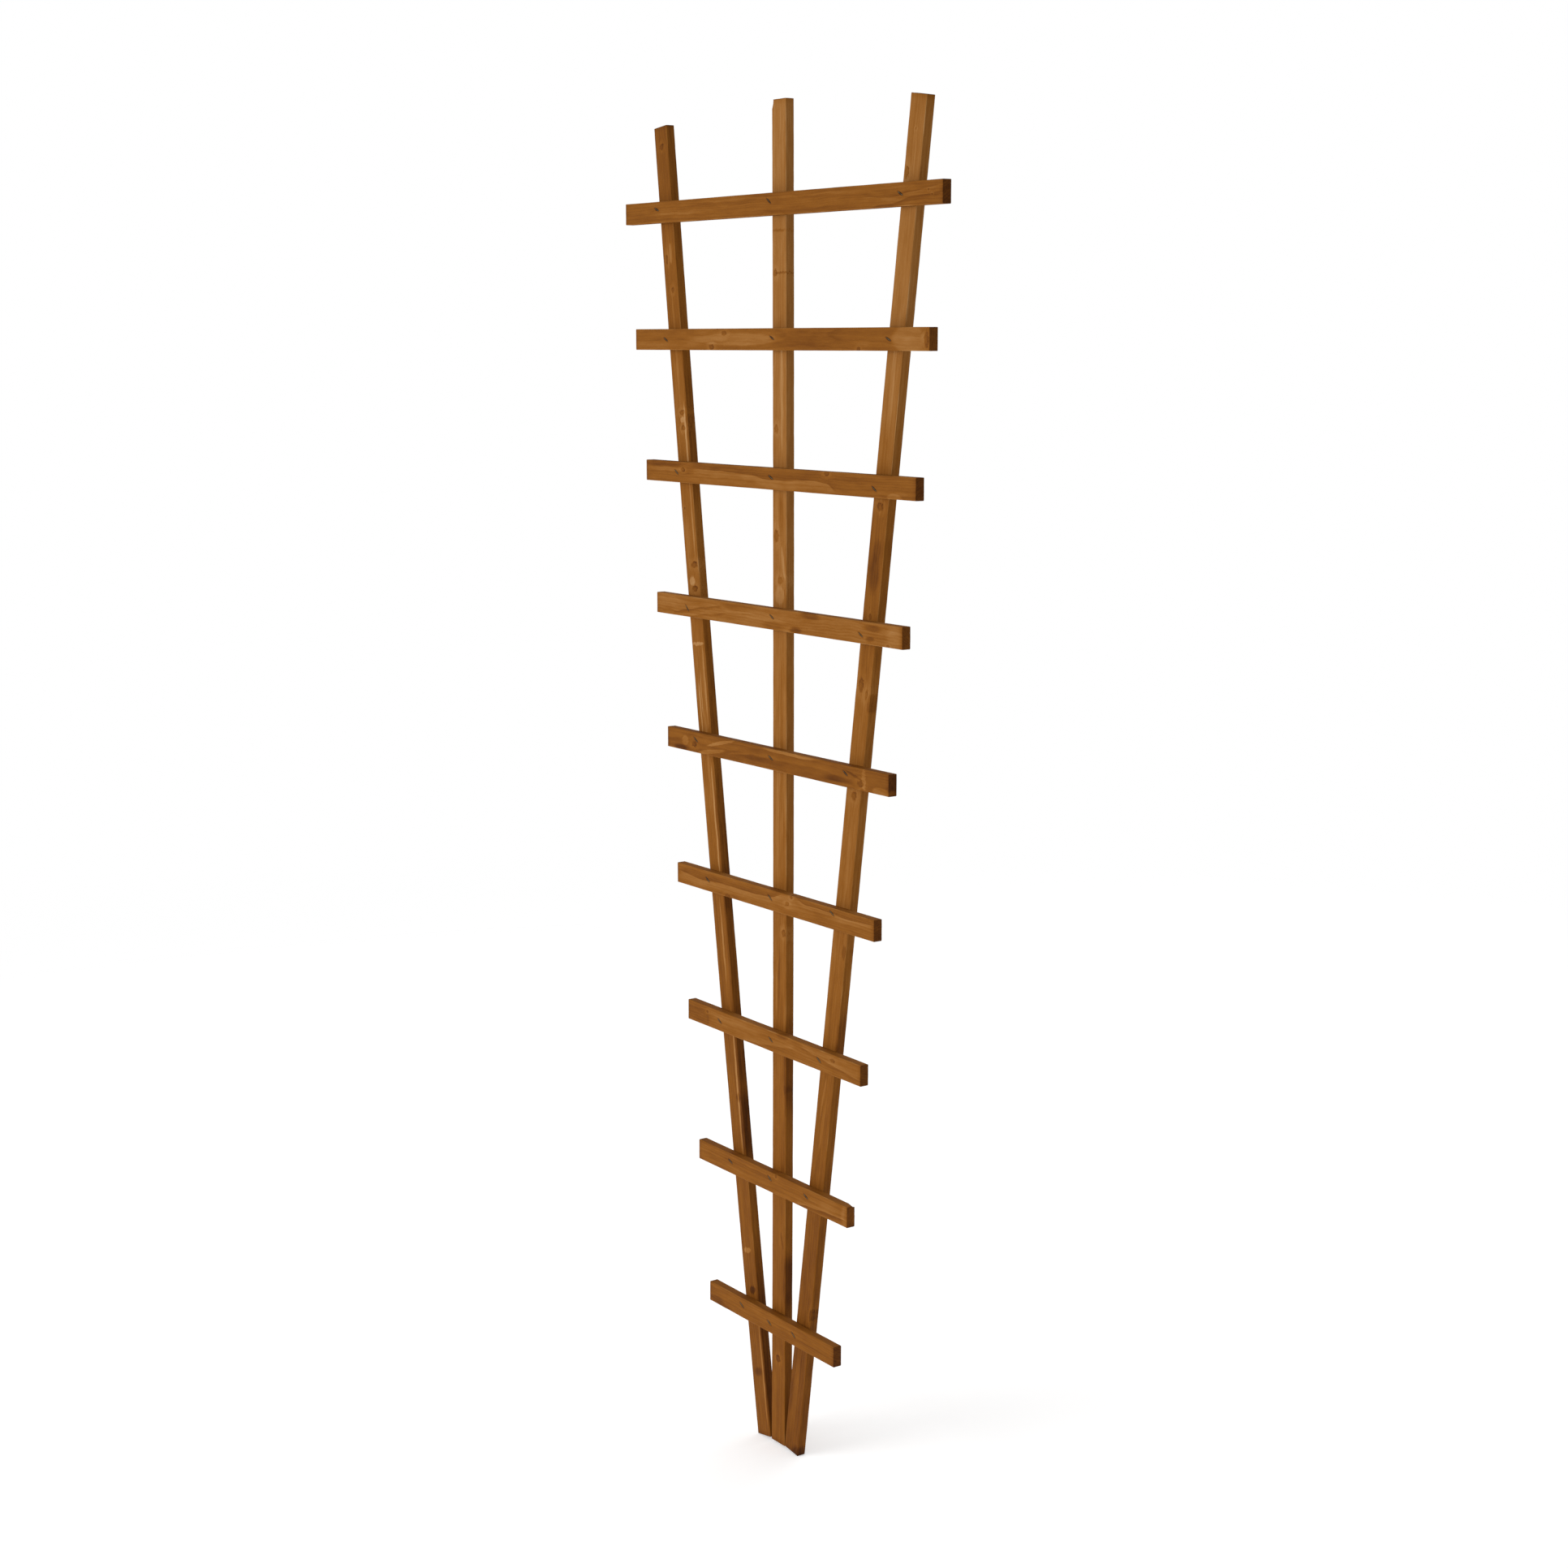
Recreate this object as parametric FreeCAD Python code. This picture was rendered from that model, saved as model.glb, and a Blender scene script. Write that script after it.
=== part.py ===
"""A fan trellis: three softwood uprights that spread from one foot, nine battens stapled
across their front, and one wire staple at every crossing.

Frame, in millimetres: +X runs across the fan, +Y points at the wall behind it, +Z is up.
The uprights touch the battens in the plane y = 0, and the outer feet reach down to z = 0.
"""

import FreeCAD, Part

import math
import os

# Laths
UPRIGHT_WIDTH = 31.0
UPRIGHT_DEPTH = 13.0
BATTEN_HEIGHT = 28.5
BATTEN_DEPTH = 13.0
ARRIS_RADIUS = 0.7

# Uprights: length, where the middle of the foot is across the fan and how high it stands, how
# many degrees the lath leans to the right, and how far its middle bows to the right, because
# the stapling bent it a little
UPRIGHTS = (
    ("left_upright", 1830.0, -37.5, 2.4, -7.7, -8.0),
    ("centre_upright", 1829.0, -4.0, 3.6, 0.1, 3.0),
    ("right_upright", 1834.0, 27.5, 2.3, 8.2, 1.0),
)

# Battens, counted from the top
BATTENS = 9
LOWEST_BATTEN_MIDDLE = 182.5       # above the lowest corners of the feet
MEAN_BAY = 190.3                   # from one batten to the next
BAY_GROWTH = 4.0                   # each bay is this much taller than the one above it
TOP_BATTEN_LENGTH = 705.0
LOWEST_BATTEN_LENGTH = 298.0       # the others are in proportion to their heights

# Battens are centred on the centre upright, but they were laid by hand
TOP_BATTEN_DROP = 4.5              # the top one sits this much below its even place
SHIFTED_BATTENS = 4                # this many of the lowest are further to the left
BATTEN_SHIFT = 2.5
TIPPED_BATTENS = 3                 # and this many tip down at the right end
BATTEN_TIP = 0.5                   # degrees

# Staples: one bent wire with a crown along the batten's face and two legs driven into the wood
WIRE_RADIUS = 0.6
CROWN_LENGTH = 11.0
LEG_LENGTH = 21.0
BEND_RADIUS = 1.0
CROWN_PROUD = 0.25         # how far the crown stands out of the batten's face

# Where each staple sits from the middle of its crossing, across and up, and how many degrees
# its crown tips down to the right: left, centre and right upright, from the top batten down
STAPLE_PLACES = (
    ((-4, 4, 22), (-5, 4, 35), (-2, 1, 28)),
    ((-4, 0, 28), (1, 2, 26), (1, 0, 24)),
    ((-2, 0, 34), (-2, 2, 26), (0, -3, 34)),
    ((-1, -2, 46), (0, 3, 30), (0, -3, 30)),
    ((-6, 4, 32), (-3, 2, 27), (-4, 4, 31)),
    ((-4, 2, 34), (-4, 3, 36), (-4, 7, 30)),
    ((-3, 0, 30), (-2, 2, 33), (-4, 0, 30)),
    ((-6, 3, 24), (-4, 5, 34), (-4, 3, 28)),
    ((-9, 4, 30), (-4, 0, 28), (-3, 1, 34)),
)

ORIGIN = FreeCAD.Vector(0, 0, 0)
ACROSS = FreeCAD.Vector(1, 0, 0)
INTO_WALL = FreeCAD.Vector(0, 1, 0)
UP = FreeCAD.Vector(0, 0, 1)


def ease_arrises(blank, along):
    """Takes the sharpness off the four edges that run along a sawn lath."""
    arrises = []
    for edge in blank.Edges:
        middle = (edge.FirstParameter + edge.LastParameter) / 2
        if abs(edge.tangentAt(middle).dot(along)) > 0.5:
            arrises.append(edge)
    return blank.makeFillet(ARRIS_RADIUS, arrises)


def bent_lath(length, bow):
    """An upright lath with the middle of its foot at the origin, bowed along X at mid-length."""
    half = UPRIGHT_WIDTH / 2
    slope = 2 * math.atan(2 * bow / length)
    end_x = half * math.cos(slope)
    end_z = half * math.sin(slope)

    def side(sign):
        foot = FreeCAD.Vector(sign * end_x, 0, -sign * end_z)
        middle = FreeCAD.Vector(bow + sign * half, 0, length / 2)
        top = FreeCAD.Vector(sign * end_x, 0, length + sign * end_z)
        return foot, Part.Arc(foot, middle, top).toShape(), top

    left_foot, left_edge, left_top = side(-1)
    right_foot, right_edge, right_top = side(1)
    outline = Part.Wire([
        Part.makeLine(left_foot, right_foot),
        right_edge,
        Part.makeLine(right_top, left_top),
        left_edge,
    ])
    blank = Part.Face(outline).extrude(INTO_WALL * UPRIGHT_DEPTH)
    return ease_arrises(blank, UP)


def upright(length, foot_x, foot_z, lean, bow):
    """One upright in its place."""
    shape = bent_lath(length, bow)
    shape.rotate(ORIGIN, INTO_WALL, lean)
    shape.translate(FreeCAD.Vector(foot_x, 0, foot_z))
    return shape


def upright_middle_x(height, length, foot_x, foot_z, lean, bow):
    """Where the middle line of an upright crosses a height."""
    slant = math.radians(lean)
    risen = height - foot_z
    share = risen / (length * math.cos(slant))
    return foot_x + risen * math.tan(slant) + 4 * bow * share * (1 - share) / math.cos(slant)


def batten_middles():
    """The height of each batten's middle, from the top batten down."""
    middle = LOWEST_BATTEN_MIDDLE
    heights = [middle]
    for bay in range(BATTENS - 2, -1, -1):
        middle += MEAN_BAY + BAY_GROWTH * (bay - (BATTENS - 2) / 2)
        heights.append(middle)
    heights[-1] -= TOP_BATTEN_DROP
    return heights[::-1]


def batten(length, x, middle):
    """One batten with its middle at x, level across the front of the uprights."""
    shape = ease_arrises(Part.makeBox(length, BATTEN_DEPTH, BATTEN_HEIGHT), ACROSS)
    shape.translate(FreeCAD.Vector(x - length / 2, -BATTEN_DEPTH, middle - BATTEN_HEIGHT / 2))
    return shape


def staple():
    """A staple with the middle of its crown at the origin and its legs along +Y."""
    leg_x = CROWN_LENGTH / 2 - WIRE_RADIUS
    crown_x = leg_x - BEND_RADIUS
    halfway = BEND_RADIUS * math.sin(math.radians(45))

    def at(x, y):
        return FreeCAD.Vector(x, y, 0)

    def bend(side):
        crown_end = at(side * crown_x, 0)
        middle = at(side * (crown_x + halfway), BEND_RADIUS - halfway)
        leg_start = at(side * leg_x, BEND_RADIUS)
        return Part.Arc(crown_end, middle, leg_start).toShape()

    route = Part.Wire([
        Part.makeLine(at(-leg_x, LEG_LENGTH), at(-leg_x, BEND_RADIUS)),
        bend(-1),
        Part.makeLine(at(-crown_x, 0), at(crown_x, 0)),
        bend(1),
        Part.makeLine(at(leg_x, BEND_RADIUS), at(leg_x, LEG_LENGTH)),
    ])
    section = Part.Wire(Part.makeCircle(WIRE_RADIUS, at(-leg_x, LEG_LENGTH), INTO_WALL))
    return route.makePipeShell([section], True, False)


def driven_staple(pattern, upright_place, middle, staple_place):
    """A copy of the staple driven through a batten into one upright."""
    across, up, tip = staple_place
    shape = pattern.copy()
    shape.rotate(ORIGIN, INTO_WALL, tip)
    x = upright_middle_x(middle, *upright_place) + across
    y = WIRE_RADIUS - CROWN_PROUD - BATTEN_DEPTH
    shape.translate(FreeCAD.Vector(x, y, middle + up))
    return shape


def batten_row(number, heights, pattern):
    """A batten and its three staples, tipped together as the batten was laid."""
    middle = heights[number]
    share = (middle - heights[-1]) / (heights[0] - heights[-1])
    length = LOWEST_BATTEN_LENGTH + share * (TOP_BATTEN_LENGTH - LOWEST_BATTEN_LENGTH)
    staples = []
    for (_, *upright_place), staple_place in zip(UPRIGHTS, STAPLE_PLACES[number]):
        staples.append(driven_staple(pattern, upright_place, middle, staple_place))
    _, *centre_place = UPRIGHTS[1]
    x = upright_middle_x(middle, *centre_place)
    if number >= BATTENS - SHIFTED_BATTENS:
        x -= BATTEN_SHIFT
    lath = batten(length, x, middle)
    if number >= BATTENS - TIPPED_BATTENS:
        for shape in (lath, *staples):
            shape.rotate(FreeCAD.Vector(0, 0, middle), INTO_WALL, BATTEN_TIP)
    return lath, staples


def trellis():
    """Every piece by its name. Each lath has the holes that its own staples made."""
    pattern = staple()
    heights = batten_middles()
    rows = [batten_row(number, heights, pattern) for number in range(BATTENS)]
    pieces = {}
    for column, (name, *place) in enumerate(UPRIGHTS):
        pieces[name] = upright(*place).cut([staples[column] for _, staples in rows])
    for number, (lath, staples) in enumerate(rows, start=1):
        pieces[f"cross_batten_{number}"] = lath.cut(staples)
        pieces[f"cross_batten_{number}_staples"] = Part.makeCompound(staples)
    return pieces


def main():
    os.makedirs("parts", exist_ok=True)
    for name, shape in trellis().items():
        shape.exportStep(f"parts/{name}.step")


main()
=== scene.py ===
"""Looks for the fan trellis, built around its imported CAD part.

Metres in the row frame: +X across the fan, +Y towards the wall, +Z up. Sizes on a lath are in
millimetres: u runs along it from the left end or the foot, v across its face, down on a batten
and to the right on an upright, and w through it towards the front. v and w start at its middle.
"""

import math

import bmesh
import bpy
from mathutils import Matrix, Vector, noise


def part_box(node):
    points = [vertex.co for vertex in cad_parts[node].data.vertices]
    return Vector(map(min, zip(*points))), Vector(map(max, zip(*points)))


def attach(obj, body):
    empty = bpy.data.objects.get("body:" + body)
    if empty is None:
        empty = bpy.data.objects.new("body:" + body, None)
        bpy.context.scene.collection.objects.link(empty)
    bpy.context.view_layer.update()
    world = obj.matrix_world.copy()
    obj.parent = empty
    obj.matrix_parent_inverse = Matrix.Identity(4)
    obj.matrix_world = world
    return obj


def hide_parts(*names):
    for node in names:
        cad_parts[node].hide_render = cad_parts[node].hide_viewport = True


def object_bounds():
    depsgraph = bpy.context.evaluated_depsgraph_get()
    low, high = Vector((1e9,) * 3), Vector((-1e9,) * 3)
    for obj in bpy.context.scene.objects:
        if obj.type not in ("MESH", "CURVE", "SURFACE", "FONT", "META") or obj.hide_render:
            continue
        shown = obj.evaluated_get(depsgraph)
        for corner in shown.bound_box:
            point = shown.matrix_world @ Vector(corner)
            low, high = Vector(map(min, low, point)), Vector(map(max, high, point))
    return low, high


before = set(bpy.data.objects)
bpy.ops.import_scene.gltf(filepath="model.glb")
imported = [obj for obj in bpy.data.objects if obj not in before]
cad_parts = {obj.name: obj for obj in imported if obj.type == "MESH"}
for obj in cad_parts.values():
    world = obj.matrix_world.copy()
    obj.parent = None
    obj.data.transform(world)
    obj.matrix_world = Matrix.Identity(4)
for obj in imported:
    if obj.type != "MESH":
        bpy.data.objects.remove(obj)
bounds_at_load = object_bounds()

MM = 0.001

# The laths, as part.py has them
UPRIGHT_WIDTH = 31.0
BATTEN_HEIGHT = 28.5
DEPTH = 13.0
UPRIGHT_PLACES = {                 # length, foot across and up, degrees of lean, bow
    "left_upright": (1830.0, -37.5, 2.4, -7.7, -8.0),
    "centre_upright": (1829.0, -4.0, 3.6, 0.1, 3.0),
    "right_upright": (1834.0, 27.5, 2.3, 8.2, 1.0),
}
BATTENS = 9
TIPPED_BATTENS = 3                 # this many of the lowest battens tip down at the right end
BATTEN_TIP = 0.5                   # degrees

# Surface of a sawn lath
ARRIS = 0.9                        # radius of the worn long edges
FACE_STEP = 1.5                    # between points across a face
STATION_STEP = 7.0                 # between points along the lath
STAPLE_STEP = 0.9                  # the same near a staple
STAPLE_REACH = 9.0
END_EASE = 0.4
END_PLACES = (0.0, END_EASE, 1.5, 4.0)
END_GAP = 0.5                      # no other point is this close to the innermost of them
CAP_LOOPS = (0.93, 0.75, 0.5, 0.25)    # how wide each loop on a sawn end is beside its rim
ARRIS_TURNS = (22.5, 45, 67.5)     # degrees
FACE_WAVES = 0.11                  # how far the skin is uneven
FACE_GRIT = 0.04
ARRIS_WEAR = 0.55
ARRIS_NICKS = 0.12
END_ROUGHNESS = 0.12
END_RAGGEDNESS = 0.15
CHIP_RAGGEDNESS = 0.25
FRONT_FACE = DEPTH / 2 - 0.1       # a point with a larger w is on the front face
DENT_DEPTH = 0.3                   # where a crown was driven into the face
DENT_RADIUS = 1.3
FIRST_UPRIGHT_SEED = 20.0          # a batten's seed is its number

# Staples
CROWN_DEPTH = 0.6                  # points this close to the very front belong to a crown
CROWN_GAP = 15.0                   # one staple is further than this from the next

# Tones: 0 is the usual golden brown, and the rest is how dark or pale a spot is
TONE_LOW = -1.6
TONE_HIGH = 1.2
TONE_COLOURS = (                   # tone and its colour, as sRGB numbers out of 255
    (-1.6, (42, 18, 2)),
    (-1.0, (84, 44, 7)),
    (-0.5, (113, 65, 15)),
    (0.0, (134, 82, 25)),
    (0.5, (151, 101, 48)),
    (1.2, (174, 130, 82)),
)
SOFT = 0.45                        # how gradually the edge of a mark fades
CRISP = 0.16
DENT_SHADOW_AND_STAIN_TONE = -1.2                  # painted shadow, partly a tannin stain, in the dent that a staple's crown was driven into
DENT_SHADOW_HALF_HEIGHT = 1.7
DENT_SHADOW_MARGIN = 0.6                 # how far it reaches past the crown's ends
RUBBED_BAND = 1.3                  # how far in from a long edge it may be rubbed paler
RUBBED_TONE = (0.1, 0.75)          # where it is rubbed least and most
SOAKED_BAND = 9.0                  # how far in from a sawn end the wood is darker
SOAKED_TONE = -0.25
END_GRAIN = (0.7, 0.2)             # how deep it begins, and where it is full
END_GRAIN_TONE = -0.6
SWAY = 0.9                         # how far the figure wanders across a lath
FRAY = 0.4                         # how far it is frayed along the lath
MARK_FRAY = 2.2                    # and how much further the marks are
LINE_BLUR = 0.5                    # on each side of a growth line
LINE_END = 0.08                    # the share of a growth line that fades at each end

# Grain: its sizes in millimetres, and how much each part of it changes the tone
YEAR = 3.1                         # from one ring to the next
YEAR_VARIATION = 0.7               # in years
RING_BEND = 3.2
RING_RIPPLE = 0.35
RING_TONE = -0.45
STREAK_TONE = 0.13
FIBRE_TONE = 0.10
BLOTCH_TONE = 0.22

# Knots, by how far out from the middle a point is: 1 is the outline
KNOT_WOBBLE = 0.42
KNOT_CORE = (1.25, 0.6)            # where the core begins and where it is full
KNOT_CORE_TONE = 0.30
KNOT_RIM = 0.85
KNOT_RIM_WIDTH = 0.4
KNOT_RIM_TONE = 0.60
KNOT_RIM_MEAN = 0.75               # how strong the rim is on average
KNOT_RIM_RIGHT = 0.35              # how much stronger it gets to the right
KNOT_RIM_BELOW = 0.25              # and below
KNOT_RING_TURN = 17.0              # radians of the rings' wave from the middle to the outline
KNOT_RING_TONE = 0.12
KNOT_SURROUND = (3.2, 1.3)
KNOT_SURROUND_TONE = 0.22
KNOT_REACH = 3.5                   # the grain bends round it as far out as this
KNOT_PULL = -0.8

# What shows on each lath. v is 0 at its top or left edge and 1 at the other. Not every
# lath has patches or lines.
# tones: at even steps from the left end or the foot to the other end.
# marks: u, v, half length, half height as a share of the width, slope, tone.
# patches: the same, with a crisp edge.
# lines: points (u, v) on a growth line, the tones above and below it, and its reach.
# knots: u, v, half length, half height in millimetres, tone.
# pith: where the heart of the tree lies from the lath's middle, across and forward.
FIGURE = {
    "cross_batten_1": {
        "tones": (-0.05, -0.05),
        "pith": (34, -20),
        "marks": (
            (150, .60, 90, .07, -.01, .22), (300, .35, 120, .06, .01, -.18), (430, .85, 90, .12, 0, -.22),
            (500, .25, 60, .06, .01, .22), (240, .15, 60, .10, 0, .20), (60, .75, 50, .14, 0, -.15),
        ),
        "lines": (
            (((560, .95), (600, .86), (650, .62), (705, .50)), .10, -.40, 7),
            (((545, .50), (600, .62), (640, .45), (705, .22)), -.30, .15, 5),
        ),
        "knots": ((678, .40, 1.6, 1.3, -.7), (685, .58, 1.6, 1.2, -.6)),
    },
    "cross_batten_2": {
        "tones": (0, 0),
        "pith": (-6, -26),
        "marks": ((420, .50, 75, .50, 0, -.32), (560, .25, 60, .14, 0, -.15), (60, .80, 60, .14, 0, .12)),
        "patches": ((248, .50, 101, .27, 0, .42), (618, .50, 32, .60, 0, .42)),
        "knots": (
            (220, .22, 6, 3.0, -.8), (190, .86, 5.5, 3.6, -1.0), (518, .92, 3.5, 2.4, -.9),
            (653, .5, 4, 10, -.7),
        ),
    },
    "cross_batten_3": {
        "tones": (-0.05, -0.05),
        "pith": (22, -12),
        "marks": (
            (45, .12, 48, .14, 0, -.45), (50, .36, 50, .10, 0, .35), (500, .30, 60, .14, 0, -.20),
            (180, .85, 80, .12, 0, .15),
        ),
        "patches": ((568, .95, 15, .20, 0, .45),),
        "lines": (
            (
                (
                    (105, .27), (180, .30), (250, .38), (300, .58),
                    (345, .52), (395, .45), (425, .52), (455, .97),
                ),
                -.30, .42, 17,
            ),
        ),
        "knots": ((93, .35, 4.5, 3, -1.0), (427, .08, 5, 3, -.8)),
    },
    "cross_batten_4": {
        "tones": (0.2, 0.2),
        "pith": (-20, -16),
        "marks": (
            (367, .10, 18, .16, 0, -.60), (335, .88, 12, .16, 0, -.75), (500, .25, 17, .14, 0, -.50),
            (495, .74, 8, .12, 0, -.60), (250, .50, 60, .12, 0, .28), (285, .80, 22, .20, 0, -.35),
            (545, .50, 14, .40, 0, .30), (30, .30, 30, .20, 0, .18), (200, .20, 30, .16, 0, -.25),
        ),
        "lines": (
            (((40, .80), (80, .62), (120, .42), (165, .22)), .15, -.40, 6),
            (((80, .95), (130, .72), (185, .50), (240, .42)), .15, -.30, 5),
        ),
        "knots": ((532, .92, 3, 2, -.7),),
    },
    "cross_batten_5": {
        "tones": (-0.2, -0.2),
        "pith": (6, -14),
        "marks": (
            (34, .90, 16, .14, 0, -.60), (405, .70, 27, .14, 0, -.40), (220, .60, 60, .10, 0, -.12),
            (20, .30, 20, .20, 0, .15), (350, .45, 40, .12, 0, .20),
        ),
        "patches": (
            (45, .50, 8, .25, 0, .50), (132, .28, 33, .08, -.23, .65), (110, .78, 34, .10, -.17, .50),
            (295, .08, 58, .07, 0, .60), (459, .50, 4, .50, .3, .45), (495, .88, 18, .20, 0, .50),
            (180, .55, 25, .05, -.1, .35), (440, .40, 22, .06, .25, -.40),
        ),
        "knots": ((68, .60, 6, 4, -.8), (452, .70, 6, 4, -.6), (456, .90, 4, 2.2, -.6)),
    },
    "cross_batten_6": {
        "tones": (0.05, 0.05),
        "pith": (30, -8),
        "marks": ((266, .40, 26, .30, 0, .25), (130, .90, 22, .10, 0, -.30), (60, .75, 50, .14, 0, .15)),
        "lines": (
            (
                ((0, .30), (20, .42), (60, .50), (120, .44), (180, .42), (225, .38), (262, .05)),
                -.42, .35, 13,
            ),
            (((285, .08), (310, .26), (350, .24), (400, .32), (460, .25)), -.30, .38, 9),
        ),
        "knots": ((268, .44, 4.5, 2.8, -.8), (277, .06, 3.2, 2.8, -.9), (126, .93, 6, 2.4, -.7)),
    },
    "cross_batten_7": {
        "tones": (0.1, 0.1),
        "pith": (-28, -10),
        "marks": ((24, .50, 28, .60, 0, -.32), (100, .30, 50, .16, 0, .22), (230, .08, 12, .10, 0, -.45)),
        "patches": ((50, .60, 3, .30, 0, -.20),),
        "lines": (
            (((135, .97), (170, .86), (215, .66), (262, .48)), .25, -.18, 9),
            (((270, .20), (310, .38), (350, .54), (407, .72)), .28, -.28, 9),
        ),
        "knots": ((49, .25, 2.4, 2.0, -.9), (345, .28, 5, 2.4, -.7)),
    },
    "cross_batten_8": {
        "tones": (-0.05, -0.05),
        "pith": (18, -22),
        "marks": ((120, .35, 70, .08, 0, -.20), (90, .75, 60, .10, 0, .18), (348, .50, 8, .50, 0, .40)),
        "lines": ((((235, .95), (270, .82), (310, .72), (350, .68)), .40, -.38, 8),),
        "patches": ((305, .40, 42, .14, 0, .30),),
        "knots": ((190, .10, 2.6, 2.2, -.8),),
    },
    "cross_batten_9": {
        "tones": (-0.1, -0.1),
        "pith": (-36, -18),
        "marks": (
            (18, .75, 16, .16, 0, -.45), (36, .92, 22, .10, 0, -.40), (160, .30, 70, .08, 0, .2),
            (230, .65, 50, .06, 0, -.2),
        ),
        "knots": (),
    },
    "left_upright": {
        "tones": (-.3, -.3, -.2, -.2, -.1, .1, .1, .1, .1, -.1, -.3),
        "pith": (-16, 18),
        "marks": (
            (91, .50, 6, .30, .3, -.50), (443, 1.0, 42, .16, 0, -.80), (543, 1.0, 60, .12, 0, -.50),
            (853, 1.0, 110, .12, 0, -.45), (1063, 1.0, 80, .10, 0, -.40), (1423, 1.0, 90, .10, 0, -.40),
            (133, 1.0, 110, .10, 0, -.50), (703, 1.0, 90, .10, 0, -.35),
            (483, .80, 6, .15, 0, -.60), (703, .60, 60, .07, 0, .35), (963, .60, 60, .06, 0, .30),
            (703, .25, 80, .06, 0, -.20), (1533, .50, 70, .10, 0, .22), (1683, .45, 60, .12, 0, .15),
            (303, .30, 50, .10, 0, .15), (1263, .30, 40, .14, 0, .25),
        ),
        "patches": (
            (93, .86, 78, .06, 0, .85), (208, .60, 6, .22, .4, -.70), (265, .45, 4, .26, .3, .80),
            (503, .79, 105, .06, 0, 1.05), (873, .78, 78, .06, 0, .95), (1031, .30, 36, .06, 0, .80),
            (1053, .45, 32, .05, 0, .60), (1121, .50, 2.4, .45, 0, .85), (1208, .42, 6, .22, 0, .80),
            (1403, .80, 50, .07, 0, 1.0), (1430, .60, 4, .20, 0, .80), (1658, .62, 14, .10, 0, .60),
            (703, .60, 60, .05, 0, .60), (1063, .80, 60, .06, 0, .70), (1293, .80, 50, .05, 0, .60),
        ),
        "knots": (
            (1197, .60, 4, 6, -1.2), (1230, .68, 4, 7, -1.1), (1309, .25, 1.8, 1.6, -.9),
            (1363, .20, 3, 2.2, -.9), (1419, .62, 3.5, 5, -1.0), (1440, .62, 3.5, 6, -1.0),
            (1608, .60, 4, 3, -.8), (1651, .30, 6, 2.6, -.7), (1803, .50, 4, 4.5, -.8),
        ),
    },
    "centre_upright": {
        "tones": (-.3, -.2, -.1, 0, .1, .3, .3, .4, .5, .5, .6),
        "pith": (14, 16),
        "marks": (
            (239, 1.0, 36, .16, 0, -.70), (544, 1.0, 60, .16, 0, -.60), (674, .50, 32, .08, 0, -.35),
            (1664, .50, 1.6, .50, 0, -.50), (884, .35, 90, .08, 0, .25), (1004, .65, 90, .08, 0, -.2),
            (64, .20, 50, .14, 0, .20), (424, .75, 40, .12, 0, -.25), (1294, .60, 30, .14, 0, -.3),
        ),
        "patches": (
            (299, .74, 12, .06, -.2, -.40), (516, .92, 7, .10, 0, -.20), (644, .28, 34, .04, 0, .40),
            (654, .44, 40, .04, 0, -.35), (1191, .50, 12, .34, 0, .40), (1459, .67, 76, .10, 0, .42),
            (1610, .62, 1.3, .45, 0, -.70), (1234, .78, 22, .10, -.2, .40), (979, .40, 12, .30, 0, .20),
        ),
        "knots": (
            (124, .50, 5, 5, -.8), (734, .82, 5, 4.4, -1.0), (1211, .55, 5, 6, -.5), (1269, .25, 8, 5, -.9),
            (1409, .26, 5, 4, -.8), (1610, .20, 4.5, 4, -1.1),
        ),
    },
    "right_upright": {
        "tones": (-.5, -.4, -.3, -.1, .1, .2, .1, -.2, .4, .5, .3),
        "pith": (-12, 22),
        "marks": (
            (88, .50, 46, .12, 0, .30), (488, .50, 40, .10, .10, .32), (1248, .50, 24, .30, 0, -.50),
            (1278, .55, 14, .24, 0, -.35), (1483, .50, 52, .16, 0, .32), (623, 1.0, 30, .10, 0, -.45),
            (863, .55, 70, .08, 0, .22), (1133, .40, 40, .20, 0, -.2), (5, .90, 8, .3, 0, -.5),
        ),
        "patches": (
            (533, .40, 30, .05, .12, .35), (745, .88, 10, .12, 0, -.50), (1083, 1.0, 12, .18, 0, -.40),
        ),
        "knots": (
            (217, .97, 8, 3, -.6), (957, .55, 6, 5, -.9), (1103, .32, 9, 5, -.8), (1093, .70, 7, 4, -.6),
            (1193, .50, 4, 3, -.7), (1334, .48, 5, 6, -.9), (1741, .18, 7.5, 4, -1.0),
            (1793, .50, 1.6, 1.5, -.8),
        ),
    },
}

# Corners knocked off: u, half length, side across, side forward, how far across and forward
CHIPS = {
    "centre_upright": ((1832, 14, -1, 1, 4.0, 3.0),),
    "left_upright": ((1210, 22, 1, 1, 1.6, 1.4),),
    "cross_batten_8": ((358, 13, -1, -1, 14.0, 3.0),),
}


# ---------------------------------------------------------------- camera

CAMERA_AZIMUTH = math.radians(54.62)
CAMERA_ELEVATION = math.radians(9.72)
CAMERA_DISTANCE = 3.4422
CAMERA_AIM = Vector((0.0109, 0.0, 0.9428))
CAMERA_LENS = 59.12


def direction(azimuth, elevation):
    """The way from the object to something at that azimuth and elevation."""
    return Vector((
        math.sin(azimuth) * math.cos(elevation),
        -math.cos(azimuth) * math.cos(elevation),
        math.sin(elevation),
    ))


def add_camera():
    camera = bpy.data.objects.new("camera", bpy.data.cameras.new("camera"))
    camera.data.sensor_width = 36
    camera.data.lens = CAMERA_LENS
    camera.location = CAMERA_AIM + direction(CAMERA_AZIMUTH, CAMERA_ELEVATION) * CAMERA_DISTANCE
    camera.rotation_euler = (math.radians(90) - CAMERA_ELEVATION, 0, CAMERA_AZIMUTH)
    bpy.context.scene.collection.objects.link(camera)
    bpy.context.scene.camera = camera


# ---------------------------------------------------------------- node helpers

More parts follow.
